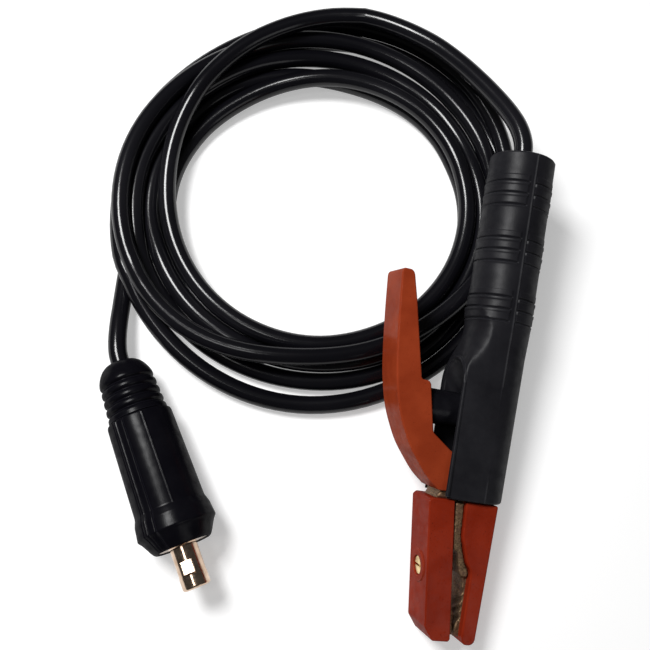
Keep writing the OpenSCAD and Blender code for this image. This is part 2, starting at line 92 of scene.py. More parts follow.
# Handle: ring grooves by their distance from the rear, left out of a strip at the parting line
GROOVE_BANDS = (14.4, 41, 68.2)
GROOVE_PITCH = 5.5
GROOVES_PER_BAND = 3
STRIP_NEAR, STRIP_FAR = 2.5, 0.6

# Handle: bead round the slot's mouth
RIM_HEIGHT = 17.55
RIM_HALF_W = 11.75
RIM_END_Y = 52
RIM_R = 1.0

# Handle screw, spring, lever and jaws
SCREW_Y = 88
SPRING_Y = 39.5
LEVER_HALF_W = 10
JAW_COVER_HALF_W = 10.3
JAW_HALF_W = 6.5
JAW_SCREW_Y = -32.5
JAW_SLOPE = 0.127
UPPER_COVER_DEPTH = 12.5
CAST_VOXEL = 0.55
CAST_LUMPS = 0.16

# Plug: angles round the boot are in degrees from its top, the same on both halves
BOOT_VALLEYS = (11.3, 15.7, 20.1, 24.4)
BOOT_BODY_T = 28
BOOT_MOUTH_R = 11.75
BOOT_STRIP = ((137.2, 138.8), (158, 159.6))
BOOT_STRIP_LINE = 145.5
BOOT_STRIP_GROOVES = (136.8, 160.2)
BOOT_SEAM = 15
PIN_R = 6.5

# Cable
CABLE_D = 9
COIL_AT = Vector((-72, 89, 0))
TAIL_ROUTE = ((20, 111, 46.6), (19.2, 119, 47.3), (16.3, 127, 46.8), (11.4, 135, 45),
              (4.3, 144, 42.2), (-4.5, 153.5, 39.1), (-15, 163.5, 35.6), (-27.5, 173, 32.1),
              (-41.5, 180.3, 28.9), (-55.5, 185, 26.6), (-68, 187.2, 25))
LEAD_ROUTE = ((-162.5, 59, 4.6), (-163.6, 47, 4.6), (-163.5, 37, 4.9), (-162.7, 27, 6),
              (-161.5, 17, 8.2), (-160.3, 8, 10.6), (-158.8, -0.5, 12.4),
              (-156.9, -7.4, 13.3), (-154.3, -12.8, 13.6))

# Each turn of the coil as (radius, height) every 45 degrees, from the right and anticlockwise.
# None is where the cable hasn't joined the coil yet, or has left it.
COIL_TURNS = (
    (None, None, (98.3, 24.5), (87.5, 21), (79.5, 17), (78, 13.5), (77.5, 13.5), (76, 13)),
    ((75, 13.4), (71.6, 13.4), (67.4, 13.2), (70, 9), (80.5, 5), (82, 6), (80, 4.5), (78.5, 4.5)),
    ((76, 4.5), (72.2, 4.5), (69, 4.5), (80.5, 5.5), (89, 12), (87.5, 10), (85, 4.5), (86, 5)),
    ((83, 5), (81.5, 6), (81, 8), (84, 14.2), (94, 12), (96, 9), (94, 4.5), (94, 4.5)),
    ((90, 5), (89, 8), (89.5, 9), (92.5, 13.5), (99.5, 20), (100.5, 20), (84.5, 14), (84, 13)),
    ((92.5, 14), (102, 11), (101.5, 8), (99.5, 5), (101.5, 8), (106, 9), (106.5, 4.5), (101, 4.5)),
    ((97, 4.5), (95.5, 4.5), (94.5, 4.5), (90.5, 4.5), (94.5, 4.5), None, None, None),
)


# Frames

def part_frame(origin, along, across):
    """Matrix of a part's own frame: its origin, its Y direction and roughly its Z direction."""
    y = along.normalized()
    x = y.cross(across).normalized()
    matrix = Matrix((x, y, x.cross(y))).transposed().to_4x4()
    matrix.translation = origin
    return matrix


def record_mount(name):
    return next(m for m in frame["record"]["mounts"] if m["name"] == name)


def holder_frame():
    mount = record_mount("rod_groove")
    pivot = Vector(frame["joints"][0]["pos_m"])
    across = Vector(mount["axis"])
    run = PIVOT_AT - GROOVE_AT
    turn = math.atan2(-run.x, run.y)
    along = Matrix.Rotation(-turn, 3, across) @ (pivot - Vector(mount["pos_m"]))
    matrix = part_frame(pivot, along, across)
    matrix.translation = matrix @ (-PIVOT_AT * MM)
    return matrix


def plug_frame():
    mount = record_mount("plug_pin_end")
    along = -Vector(mount["axis"])
    matrix = part_frame(Vector(mount["pos_m"]), along, Vector((0, 0, 1)))
    matrix.translation = matrix @ Vector((0, -PIN_MOUNT_Y * MM, 0))
    return matrix


HOLDER = holder_frame()
PLUG = plug_frame()


# Camera

def make_camera():
    elevation, roll = math.radians(CAMERA_ELEVATION), math.radians(CAMERA_ROLL)
    look = Vector((0, math.cos(elevation), -math.sin(elevation)))
    level = Vector((1, 0, 0))
    rise = level.cross(look)
    right = math.cos(roll) * level + math.sin(roll) * rise
    top = math.cos(roll) * rise - math.sin(roll) * level
    data = bpy.data.cameras.new("camera")
    data.lens = CAMERA_LENS
    data.clip_start = 0.01
    camera = bpy.data.objects.new("camera", data)
    bpy.context.scene.collection.objects.link(camera)
    matrix = Matrix((right, top, -look)).transposed().to_4x4()
    matrix.translation = CAMERA_TARGET - look * CAMERA_DISTANCE
    camera.matrix_world = matrix
    bpy.context.scene.camera = camera


# Materials

class Paint:
    """A material's node tree, with short ways to add and join nodes."""

    def __init__(self, name):
        self.material = bpy.data.materials.new(name)
        self.material.use_nodes = True
        self.tree = self.material.node_tree
        self.shader = self.tree.nodes["Principled BSDF"]
        self.where = self.add("ShaderNodeTexCoord").outputs["Object"]

    def add(self, kind, **settings):
        node = self.tree.nodes.new(kind)
        for key, value in settings.items():
            setattr(node, key, value)
        return node

    def join(self, source, node, socket):
        self.tree.links.new(source, node.inputs[socket])

    def set(self, **values):
        for key, value in values.items():
            self.shader.inputs[key.replace("_", " ")].default_value = value

    def noise(self, scale, detail=4, stretch=None, roughness=0.5):
        node = self.add("ShaderNodeTexNoise")
        node.inputs["Scale"].default_value = scale
        node.inputs["Detail"].default_value = detail
        node.inputs["Roughness"].default_value = roughness
        where = self.where
        if stretch:
            mapping = self.add("ShaderNodeMapping")
            mapping.inputs["Scale"].default_value = stretch
            self.join(self.where, mapping, "Vector")
            where = mapping.outputs["Vector"]
        self.join(where, node, "Vector")
        return node.outputs["Fac"]

    def ramp(self, source, low, high, start=0.0, end=1.0):
        """Maps source from low..high to start..end, held at the ends."""
        node = self.add("ShaderNodeMapRange")
        for socket, value in zip(("From Min", "From Max", "To Min", "To Max"),
                                 (low, high, start, end)):
            node.inputs[socket].default_value = value
        self.join(source, node, "Value")
        return node.outputs["Result"]

    def mix(self, amount, first, second):
        """Colour from first to second by amount; each is a colour or a socket."""
        node = self.add("ShaderNodeMix", data_type="RGBA")
        self.join(amount, node, 0)
        for socket, value in ((6, first), (7, second)):
            if isinstance(value, bpy.types.NodeSocket):
                self.join(value, node, socket)
            else:
                node.inputs[socket].default_value = (*value, 1)
        return node.outputs[2]

    def math(self, operation, first, second):
        node = self.add("ShaderNodeMath", operation=operation)
        for index, value in enumerate((first, second)):
            if isinstance(value, bpy.types.NodeSocket):
                self.join(value, node, index)
            else:
                node.inputs[index].default_value = value
        return node.outputs[0]

    def edges(self, radius, low, high):
        """1 on sharp edges and 0 on flats."""
        bevel = self.add("ShaderNodeBevel", samples=6)
        bevel.inputs["Radius"].default_value = radius
        dot = self.add("ShaderNodeVectorMath", operation="DOT_PRODUCT")
        self.join(bevel.outputs["Normal"], dot, 0)
        self.join(self.add("ShaderNodeNewGeometry").outputs["Normal"], dot, 1)
        return self.ramp(dot.outputs["Value"], high, low)

    def bump(self, height, distance, strength=1.0, under=None):
        node = self.add("ShaderNodeBump")
        node.inputs["Distance"].default_value = distance
        node.inputs["Strength"].default_value = strength
        self.join(height, node, "Height")
        if under:
            self.join(under, node, "Normal")
        return node.outputs["Normal"]

    def gloss(self, low, high, roughness, scale=260):
        """Glossy skin of uneven strength over a body that doesn't shine itself."""
        self.set(Specular_IOR_Level=0, Coat_Roughness=roughness)
        self.join(self.ramp(self.noise(scale, 4), 0.35, 0.65, low, high),
                  self.shader, "Coat Weight")

    def finish(self, colour=None, roughness=None, normal=None):
        for source, socket in ((colour, "Base Color"), (roughness, "Roughness"),
                               (normal, "Normal"), (normal, "Coat Normal")):
            if source:
                self.join(source, self.shader, socket)
        return self.material


def grip_plastic():
    """Matt black nylon with a fine grain, paler where hands have rubbed its edges."""
    p = Paint("grip_plastic")
    p.gloss(0.24, 0.38, 0.42)
    cloud = p.ramp(p.noise(60, 5), 0.35, 0.65)
    colour = p.mix(cloud, (0.0085, 0.0083, 0.0105), (0.013, 0.0128, 0.0155))
    colour = p.mix(p.edges(0.5 * MM, 0.93, 0.995), colour, (0.026, 0.026, 0.030))
    roughness = p.ramp(p.noise(900, 3), 0.3, 0.7, 0.38, 0.52)
    grain = p.bump(p.noise(2600, 2), 0.06 * MM, 0.5)
    flow = p.bump(p.noise(140, 3, (1, 0.25, 1)), 0.25 * MM, 0.35, grain)
    return p.finish(colour, roughness, flow)


def red_plastic(name, deep, bright, worn, roughness):
    """Glossy moulded plastic with pitting, faint flow marks and scuffed edges."""
    p = Paint(name)
    p.gloss(0.10, 0.20, roughness)
    cloud = p.ramp(p.noise(70, 6), 0.38, 0.62)
    colour = p.mix(cloud, deep, bright)
    speck = p.ramp(p.noise(1500, 2), 0.67, 0.73)
    colour = p.mix(speck, colour, tuple(0.55 * c for c in deep))
    colour = p.mix(p.edges(0.45 * MM, 0.93, 0.995), colour, worn)
    rough = p.ramp(p.noise(420, 4), 0.35, 0.65, 0.28, 0.44)
    ripple = p.bump(p.noise(110, 3, (1, 0.3, 1)), 0.35 * MM, 0.35)
    pits = p.bump(p.ramp(p.noise(900, 3), 0.62, 0.72, 1, 0), 0.10 * MM, 0.5, ripple)
    return p.finish(colour, rough, pits)


def cast_brass():
    """Sand-cast brass, dull and speckled in the hollows; its ridges are polished and also carry a painted
    highlight.
    """
    p = Paint("cast_brass")
    p.set(Metallic=0.85)
    speck = p.ramp(p.noise(1300, 5, roughness=0.65), 0.36, 0.64)
    colour = p.mix(speck, (0.09, 0.055, 0.032), (0.34, 0.22, 0.12))
    stain = p.ramp(p.noise(260, 4), 0.50, 0.68)
    colour = p.mix(stain, colour, (0.20, 0.11, 0.075))
    # Pale ridges: partly real polish, partly a painted highlight.
    bright = p.edges(0.45 * MM, 0.86, 0.97)
    colour = p.mix(bright, colour, (0.90, 0.72, 0.42))
    rough = p.mix(bright, (0.55, 0.55, 0.55), (0.24, 0.24, 0.24))
    grain = p.bump(p.noise(2300, 4, roughness=0.7), 0.16 * MM, 0.8)
    return p.finish(colour, rough, grain)


def turned_metal(name, dark, light, roughness):
    """Turned or drawn metal: fine marks round it, smudges, and polished edges."""
    p = Paint(name)
    p.set(Metallic=1)
    smudge = p.ramp(p.noise(300, 4), 0.35, 0.65)
    colour = p.mix(smudge, dark, light)
    colour = p.mix(p.edges(0.2 * MM, 0.9, 0.99), colour, tuple(min(1, 1.25 * c) for c in light))
    rough = p.ramp(p.noise(700, 3), 0.3, 0.7, roughness, roughness + 0.12)
    marks = p.bump(p.noise(160, 2, (1, 40, 1)), 0.02 * MM, 0.35)
    return p.finish(colour, rough, marks)


def fibre():
    """Vulcanised fibre: brown, matt and mottled."""
    p = Paint("fibre")
    colour = p.mix(p.ramp(p.noise(900, 5), 0.35, 0.65), (0.14, 0.06, 0.035), (0.24, 0.11, 0.06))
    return p.finish(colour, p.ramp(p.noise(500, 3), 0.3, 0.7, 0.6, 0.8),
                    p.bump(p.noise(2500, 3), 0.05 * MM, 0.6))


def cable_sheath():
    """Smooth glossy black sheath with dull handled stretches, scuffs and faint waviness."""
    p = Paint("cable_sheath")
    p.gloss(0.45, 0.72, 0.17, 9)
    dull = p.ramp(p.noise(9, 3), 0.42, 0.62)
    colour = p.mix(dull, (0.0035, 0.0034, 0.0048), (0.0075, 0.0073, 0.0095))
    scuff = p.ramp(p.noise(420, 6, roughness=0.7), 0.63, 0.72, 0, 0.12)
    rough = p.math("ADD", p.ramp(dull, 0, 1, 0.17, 0.34), scuff)
    wave = p.bump(p.noise(75, 2), 0.30 * MM, 0.25)
    grain = p.bump(p.noise(1800, 3), 0.02 * MM, 0.5, wave)
    return p.finish(colour, rough, grain)


def black_rubber(name, low, high, rough_low, rough_high, grain):
    """Moulded black rubber or plastic with a fine grain and pale edges, partly dust and partly a painted
    highlight.
    """
    p = Paint(name)
    p.gloss(0.10, 0.20, rough_low)
    colour = p.mix(p.ramp(p.noise(120, 5), 0.35, 0.65), low, high)
    # Pale edges and seam: partly dust, partly a painted highlight.
    colour = p.mix(p.edges(0.4 * MM, 0.92, 0.995), colour, tuple(3.5 * c for c in high))
    rough = p.ramp(p.noise(350, 4), 0.35, 0.65, rough_low, rough_high)
    flow = p.bump(p.noise(160, 3, (1, 0.3, 1)), 0.2 * MM, 0.3)
    return p.finish(colour, rough, p.bump(p.noise(2200, 3), grain * MM, 0.5, flow))


MATERIALS = {
    "grip_plastic": grip_plastic(),
    "lever_plastic": red_plastic("lever_plastic", (0.25, 0.033, 0.010), (0.31, 0.045, 0.014),
                                 (0.40, 0.090, 0.045), 0.18),
    "jaw_plastic": red_plastic("jaw_plastic", (0.20, 0.0155, 0.0045), (0.25, 0.022, 0.0070),
                               (0.34, 0.058, 0.030), 0.20),
    "cast_brass": cast_brass(),
    "screw_brass": turned_metal("screw_brass", (0.50, 0.36, 0.16), (0.86, 0.68, 0.34), 0.22),
    "plug_brass": turned_metal("plug_brass", (0.52, 0.37, 0.26), (0.68, 0.52, 0.40), 0.11),
    "steel": turned_metal("steel", (0.42, 0.42, 0.44), (0.62, 0.62, 0.64), 0.28),
    "spring_steel": turned_metal("spring_steel", (0.34, 0.34, 0.36), (0.55, 0.55, 0.57), 0.22),
    "copper": turned_metal("copper", (0.60, 0.28, 0.16), (0.85, 0.47, 0.30), 0.25),
    "fibre": fibre(),
    "sleeve_plastic": black_rubber("sleeve_plastic", (0.0045, 0.0044, 0.006),
                                   (0.008, 0.0078, 0.010), 0.22, 0.34, 0.015),
    "cable_sheath": cable_sheath(),
    "boot_rubber": black_rubber("boot_rubber", (0.0030, 0.0028, 0.0044), (0.0042, 0.0040, 0.0058),
                                0.24, 0.36, 0.04),
}


# Mesh helpers. Shapes are built in millimetres and put in place at the end.

def new_object(name, mesh):
    obj = bpy.data.objects.new(name, mesh)
    bpy.context.scene.collection.objects.link(obj)
    return obj


def solid(name, points, faces):
    mesh = bpy.data.meshes.new(name)
    mesh.from_pydata([tuple(p) for p in points], [], faces)
    build = bmesh.new()
    build.from_mesh(mesh)
    bmesh.ops.recalc_face_normals(build, faces=build.faces)
    build.to_mesh(mesh)
    build.free()
    return new_object(name, mesh)


def loft(name, rings):
    """Closed solid through rings that all have the same number of points."""
    sides = len(rings[0])
    points = [p for ring in rings for p in ring]
    faces = [(i * sides + k, i * sides + (k + 1) % sides,
              (i + 1) * sides + (k + 1) % sides, (i + 1) * sides + k)
             for i in range(len(rings) - 1) for k in range(sides)]
    faces.append(tuple(range(sides)))
    faces.append(tuple(len(points) - sides + k for k in range(sides)))
    return solid(name, points, faces)


def prism(name, outline, half_w, low=None):
    """Slab of a plan outline, from low, or else -half_w, to half_w across."""
    low = -half_w if low is None else low
    return loft(name, [[(x, y, z) for x, y in outline] for z in (low, half_w)])


def lathe(name, profile, sides, shape=None):
    """Solid turned about Y through (radius, y) points. shape(radius, y, angle) may change the
    radius, with the angle measured from Z towards X."""
    rings = []
    for radius, y in profile:
        ring = []
        for k in range(sides):
            angle = TAU * k / sides
            r = shape(radius, y, angle) if shape else radius
            ring.append((r * math.sin(angle), y, r * math.cos(angle)))
        rings.append(ring)
    return loft(name, rings)


def modify(obj, kind, **settings):
    modifier = obj.modifiers.new(kind.lower(), kind)
    for key, value in settings.items():
        setattr(modifier, key, value)
    return modifier


def settle_modifiers(obj):
    """Turns the modified shape into the object's own mesh."""
    graph = bpy.context.evaluated_depsgraph_get()
    mesh = bpy.data.meshes.new_from_object(obj.evaluated_get(graph))
    obj.modifiers.clear()
    obj.data = mesh
    return obj


def combine(obj, operation, *others):
    """Joins others to obj, or cuts them out of it, and removes them."""
    for other in others:
        modify(obj, "BOOLEAN", operation=operation, object=other, solver="EXACT")
        settle_modifiers(obj)
        bpy.data.objects.remove(other)
    return obj


def round_edges(obj, width, segments=3, angle=32):
    modify(obj, "BEVEL", width=width, segments=segments, limit_method="ANGLE",
           angle_limit=math.radians(angle), use_clamp_overlap=True, miter_outer="MITER_ARC")
    return settle_modifiers(obj)


def smooth_shade(obj, angle):
    obj.data.shade_smooth()
    obj.data.set_sharp_from_angle(angle=math.radians(angle))
    modify(obj, "WEIGHTED_NORMAL", keep_sharp=True, weight=80)
    return settle_modifiers(obj)


def finish_piece(obj, place, body, slot, *nodes, shade):
    """Shades the piece, smooth below an angle of shade degrees, puts it in its place and says
    what it stands for."""
    smooth_shade(obj, shade)
    obj.data.transform(Matrix.Scale(MM, 4))
    obj.matrix_world = place
    return declare(obj, body, slot, *nodes)


def declare(obj, body, slot, *nodes):
    obj.data.materials.clear()
    obj.data.materials.append(MATERIALS[slot])
    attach(obj, body)
    if nodes:
        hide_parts(*nodes)
    return obj


def curve_points(points, steps):
    """Smooth curve through the points, steps to each stretch."""
    p = [Vector(q) for q in points]
    p = [2 * p[0] - p[1]] + p + [2 * p[-1] - p[-2]]
    result = []
    for a, b, c, d in zip(p, p[1:], p[2:], p[3:]):
        for i in range(steps):
            f = i / steps
            result.append(0.5 * (2 * b + (c - a) * f + (2 * a - 5 * b + 4 * c - d) * f ** 2
                                 + (3 * b - a - 3 * c + d) * f ** 3))
    return result + [Vector(points[-1])]


def arc(centre, radius, start, end, steps):
    """Points of an arc, with its angles in degrees."""
    angles = [math.radians(start + (end - start) * i / steps) for i in range(steps + 1)]
    return [(centre[0] + radius * math.cos(a), centre[1] + radius * math.sin(a)) for a in angles]


def smoothstep(low, high, value):
    t = min(1, max(0, (value - low) / (high - low)))
    return t * t * (3 - 2 * t)


def hill(value, centre, width):
    return math.exp(-((value - centre) / width) ** 2)


def cylinder(name, radius, start, end, sides=48):
    """Cylinder along Y."""
    return lathe(name, [(radius, start), (radius, end)], sides)


def stand(obj, place):
    """Moves a shape's mesh by a matrix in the part's own frame."""
    obj.data.transform(place)
    return obj


# Cable

STATIONS = 120
STATION_STEP = 360 // len(COIL_TURNS[0])
COIL_REACH = 125
SETTLE_STEPS = 900
PART_SWEEPS = 4
SINK = 0.03
RADIUS_PULL, HEIGHT_PULL = 0.10, 0.004
SMOOTHING = ((1, 0.25), (3, 0.15))
TURN_GAP = CABLE_D + 0.05


def polar(point):
    x, y = point[0] - COIL_AT.x, point[1] - COIL_AT.y
    return math.degrees(math.atan2(y, x)) % 360, math.hypot(x, y)


def route_track(route):
    """(angle, radius, height) of a route where it lies over the coil."""
    track = [(*polar(p), p[2]) for p in curve_points(route, 12)]
    return sorted(t for t in track if t[1] < COIL_REACH)


def coil_plan():
    """Radius and height of every turn at every station, and which of them are in use or held."""
    turns = len(COIL_TURNS)
    tail, lead = route_track(TAIL_ROUTE), route_track(LEAD_ROUTE)
    knots = [(i * STATION_STEP, *k) for i, k in
             enumerate(k for turn in COIL_TURNS for k in turn) if k]
    lead = [(360 * (turns - 1) + angle, r, z) for angle, r, z in lead]
    knots = [tail[-1]] + [k for k in knots if tail[-1][0] < k[0] < lead[0][0]] + [lead[0]]
    line = np.array([tuple(p) for p in curve_points(knots, 24)])
    track = np.vstack((np.array(tail[:-1]), line, np.array(lead[1:])))
    angles = 360 * np.arange(turns * STATIONS) / STATIONS
    used = (angles >= track[0, 0]) & (angles <= track[-1, 0])
    held = used & ((angles <= tail[-1][0]) | (angles >= lead[0][0]))
    radius = np.where(used, np.interp(angles, track[:, 0], track[:, 1]), 0)
    height = np.where(used, np.interp(angles, track[:, 0], track[:, 2]), 0)
    return radius, height, used, held


def smooth_line(line, free, used, reach, share):
    """Draws each free station towards the middle of its neighbours, reach stations away."""
    left, right = free - reach, free + reach
    inside = used[left] & used[right]
    middle = (line[left] + line[right]) / 2
    line[free] += np.where(inside, share * (middle - line[free]), 0)


def part_turns(rows_r, rows_z, used_rows, free_rows):
    """Pushes overlapping turns apart, more in height than in radius."""
    turns = len(rows_r)
    for a, b in ((a, b) for a in range(turns) for b in range(a + 1, turns)):
        dr, dz = rows_r[b] - rows_r[a], rows_z[b] - rows_z[a]
        far = np.maximum(np.hypot(dr, dz), 1e-6)
        lap = np.where(used_rows[a] & used_rows[b], np.maximum(TURN_GAP - far, 0), 0)
        share = np.where(free_rows[a] & free_rows[b], 0.5, 1.0) * lap / far
        for row, sign in ((a, -1), (b, 1)):
            rows_r[row] += sign * np.where(free_rows[row], 0.6 * share * dr, 0)
            rows_z[row] += sign * np.where(free_rows[row], share * dz, 0)


def relax_coil():
    """Settles the planned turns: they sink, stay stiff and don't pass through each other."""
    radius, height, used, held = coil_plan()
    plan_r, plan_z = radius.copy(), height.copy()
    free_mask = used & ~held
    free = np.flatnonzero(free_mask)
    rows = [x.reshape(len(COIL_TURNS), STATIONS) for x in (radius, height, used, free_mask)]
    for _ in range(SETTLE_STEPS):
        height[free] -= SINK
        radius[free] += RADIUS_PULL * (plan_r - radius)[free]
        height[free] += HEIGHT_PULL * (plan_z - height)[free]
        for line in (radius, height):
            for reach, share in SMOOTHING:
                smooth_line(line, free, used, reach, share)
        for _ in range(PART_SWEEPS):
            part_turns(*rows)
            np.maximum(rows[1], CABLE_D / 2, out=rows[1], where=rows[3])
    return radius, height, free_mask


def cable_line():
    """Points of the cable's centreline, from the handle to the plug, in millimetres."""
    radius, height, free = relax_coil()
    line = curve_points(TAIL_ROUTE, 8)[:-1]
    for n in np.flatnonzero(free):
        a = TAU * n / STATIONS
        line.append(Vector((COIL_AT.x + radius[n] * math.cos(a),
                            COIL_AT.y + radius[n] * math.sin(a), height[n])))
    return line + curve_points(LEAD_ROUTE, 8)[1:]


def make_cable():
    line = cable_line()
    data = bpy.data.curves.new("cable", "CURVE")
    data.dimensions = "3D"
    data.bevel_depth = CABLE_D / 2 * MM
    data.bevel_resolution = 5
    data.use_fill_caps = True
    spline = data.splines.new("POLY")
    spline.points.add(len(line) - 1)
    for point, place in zip(spline.points, line):
        point.co = (*(place * MM), 1)
    spline.use_smooth = True
    cable = bpy.data.objects.new("cable", data)
    bpy.context.scene.collection.objects.link(cable)
    declare(cable, "root", "cable_sheath", "cable_tail", "cable_coil", "plug_lead")


# Handle

def grip_profile():
    """Places of the grip's rings along it, close together at the grooves."""
    places = {0, 0.3, 1, HANDLE_LEN - 0.4, HANDLE_LEN - 1.2, HANDLE_LEN}
    places |= {float(y) for y in range(3, HANDLE_LEN - 1, 3)}
    for band in GROOVE_BANDS:
        rear = HANDLE_LEN - band
        places |= {rear + 3 + d for d in (-0.4, 0, 0.4)}
        for i in range(GROOVES_PER_BAND):
            places |= {rear - i * GROOVE_PITCH + d for d in
                       (-3.2, -2.6, -2.1, -1.7, -1.3, -0.9, -0.6, -0.3, 0, 0.3, 0.6, 1.0)}
    ordered = sorted(places)
    return [y for i, y in enumerate(ordered) if i == 0 or y - ordered[i - 1] > 0.15]


def ring_relief(from_rear):
    """Height of the ring grooves and their lips above the plain grip."""
    height = 0
    for band in GROOVE_BANDS:
        end = band + (GROOVES_PER_BAND - 1) * GROOVE_PITCH
        height += 0.22 * smoothstep(band - 3.6, band - 2.8, from_rear) * (
            1 - smoothstep(end + 0.6, end + 1.6, from_rear))
        for i in range(GROOVES_PER_BAND):
            groove = band + i * GROOVE_PITCH
            height -= 0.62 * hill(from_rear, groove, 0.34)
            height += 0.26 * smoothstep(groove + 0.2, groove + 0.6, from_rear) * (
                1 - smoothstep(groove + 1.5, groove + 2.3, from_rear)) * (groove < end)
    return height


def soft_min(first, second, width):
    """The smaller of two lengths, rounded over where they are within width of each other."""
    lap = max(0, width - abs(first - second))
    return min(first, second) - (lap * lap / (4 * width) if width else 0)


def grip_radius(y):
    """Plain radius of the grip, which tapers towards its mouth."""
    if y >= FRONT_LEN:
        return GRIP_R - (GRIP_R - FRONT_REAR_R) * (1 - smoothstep(FRONT_LEN, SWELL_END, y))
    return FRONT_R + (FRONT_REAR_R - FRONT_R) * y / FRONT_LEN


def grip_surface(_, y, angle):
    """Radius of the grip's skin at y, with the angle from the parting line towards +X. Rings and
    seam come first, then the rounded ends, and then the walls round the lever's slot."""
    x, z = math.sin(angle), math.cos(angle)
    radius = grip_radius(y)
    from_strip = x * radius - (STRIP_FAR if x > 0 else -STRIP_NEAR)
    off_strip = from_strip if x > 0 else -from_strip
    radius += ring_relief(HANDLE_LEN - y) * smoothstep(-0.3, 0.3, off_strip)
    seam = 0.22 if z > 0 else 0.12
    radius += seam * hill(x * radius, 0, 0.22) * (1 - 0.85 * smoothstep(10, 16, y)
                                                  * (1 - smoothstep(38, 60, y)))
    radius -= 1.3 * max(0, 1 - (HANDLE_LEN - y) / 1.4) ** 2 + 0.9 * max(0, 1 - y / 1.0) ** 2
    wall = 1 - smoothstep(RAMP_START, RAMP_END, y)
    if x > 0 or wall == 0:
        return radius
    side = 1 / math.hypot(z / radius, x / (radius + WALL_REACH * wall))
    top = (radius + (SLOT_WALL_TOP - radius) * wall) / max(-x, 0.01)
    return soft_min(side, top, WALL_ROUNDING * wall + RAMP_ROUNDING * wall * (1 - wall))


def slot_outline(half, end):
    """Plan of the lever's slot as (y, z)."""
    return [(-4, -half)] + arc((end - half, 0), half, -90, 90, 24) + [(-4, half)]


def slot_cutter():
    """The slot's space, with a sloping rear end and a flared mouth."""
    levels = ((0, 9.6, 54), (11, 9.8, 54), (13.5, 10.2, 56.5), (16.4, 10.5, 61.2),
              (17.0, 10.7, 61.9), (17.4, 10.95, 62.3), (17.65, 11.4, 62.8), (40, 11.8, 63.2))
    return loft("slot", [[(-v, y, z) for y, z in slot_outline(half, end)]
                         for v, half, end in levels])


def sweep(name, centres, headings, radius, sides=10):
    """Round bar through centres; its rings stand square to the headings."""
    rings = []
    for centre, heading in zip(centres, headings):
        first = heading.cross(Vector((1, 0.1, 0))).normalized()
        second = heading.cross(first).normalized()
        rings.append([centre + radius * (math.cos(t) * first + math.sin(t) * second)
                      for t in (TAU * k / sides for k in range(sides))])
    return loft(name, rings)


def slot_rim():
    """Bead round the slot's mouth."""
    path = [(y, -RIM_HALF_W) for y in (1, 20, 40)]
    path += arc((RIM_END_Y, 0), RIM_HALF_W, -90, 90, 32)
    path += [(y, RIM_HALF_W) for y in (40, 20, 1)]
    path = [Vector((-RIM_HEIGHT, y, z)) for y, z in path]
    headings = [(b - a).normalized() for a, b in zip(path, path[1:])]
    return sweep("rim", path, headings + headings[-1:], RIM_R)


def screw_side(y, x):
    """Frame of a screw that enters from the side away from the lever."""
    return Matrix.Translation((x, y, 0)) @ Matrix.Rotation(math.radians(90), 4, "Z")


def make_handle():
    ys = grip_profile()
    grip = lathe("handle_grip", [(0, y) for y in ys], 208, grip_surface)
    combine(grip, "UNION", slot_rim())
    hole_at = screw_side(SCREW_Y, GRIP_R)
    cutters = [slot_cutter(), cylinder("bore", 11.4, -1, 150, 96),
               cylinder("outlet", 4.8, 140, 170, 48),
               stand(cylinder("screw_way", 2.1, -8, 8, 32), hole_at),
               stand(cylinder("screw_recess", 3.7, -1.2, 8, 48), hole_at)]
    combine(grip, "DIFFERENCE", *cutters)
    finish_piece(grip, HOLDER, "root", "grip_plastic", "handle_grip", shade=42)


# Lever

def lever_outline():
    back = curve_points([(-21.3, 3, 0), (-27.6, 8, 0), (-33.2, 14.3, 0), (-38.2, 20.7, 0),
                         (-42.1, 27.7, 0), (-45.2, 34.5, 0), (-47.4, 41.5, 0), (-49.6, 51, 0),
                         (-51.3, 62.7, 0), (-53.2, 80, 0), (-54.6, 96.5, 0)], 4)
    back = [(p.x, p.y) for p in back]
    tip = [(-53.8, 98), (-49.9, 98), (-48.4, 96.6)]
    inside = [(-45.6, 86), (-41.4, 68), (-37.3, 50.6), (-33.4, 50.4), (-32.5, 49),
              (-27.9, 28), (-18.4, 21.3), (-15, 19.6), (-15, 3)]
    return back + tip + inside


LEVER_HOLLOW = ((-10, 0), (-10, 19.5), (-16.4, 19.5), (-21, 22), (-30.4, 28.8), (-35.2, 48),
                (-40.6, 50), (-42, 61), (-47, 61), (-45.6, 50), (-43.4, 41), (-38.8, 29),
                (-30.5, 16.5), (-19.4, 4.5), (-19.4, 0))


def make_lever_cover():
    cover = prism("lever_cover", lever_outline(), LEVER_HALF_W)
    round_edges(cover, 1.25, 4, 24)
    combine(cover, "DIFFERENCE", prism("hollow", LEVER_HOLLOW, 7.6))
    finish_piece(cover, HOLDER, "lever", "lever_plastic", "lever_cover", shade=28)


# Jaws

def jaw_inner_x(y):
    """Inner face of the upper cover, which leans from the lower one towards the tip."""
    return -12.75 - (y + 0.5) * JAW_SLOPE


def jaw_outer_x(y):
    return jaw_inner_x(y) - UPPER_COVER_DEPTH


def upper_screw_frame():
    """The upper jaw's screw stands square to the cover's outer face."""
    return (Matrix.Translation((jaw_outer_x(JAW_SCREW_Y), JAW_SCREW_Y, 0))
            @ Matrix.Rotation(math.atan(JAW_SLOPE) + math.radians(90), 4, "Z"))


def lower_outer_x(y):
    """Outer face of the lower cover."""
    return 9.1 + 0.028 * y


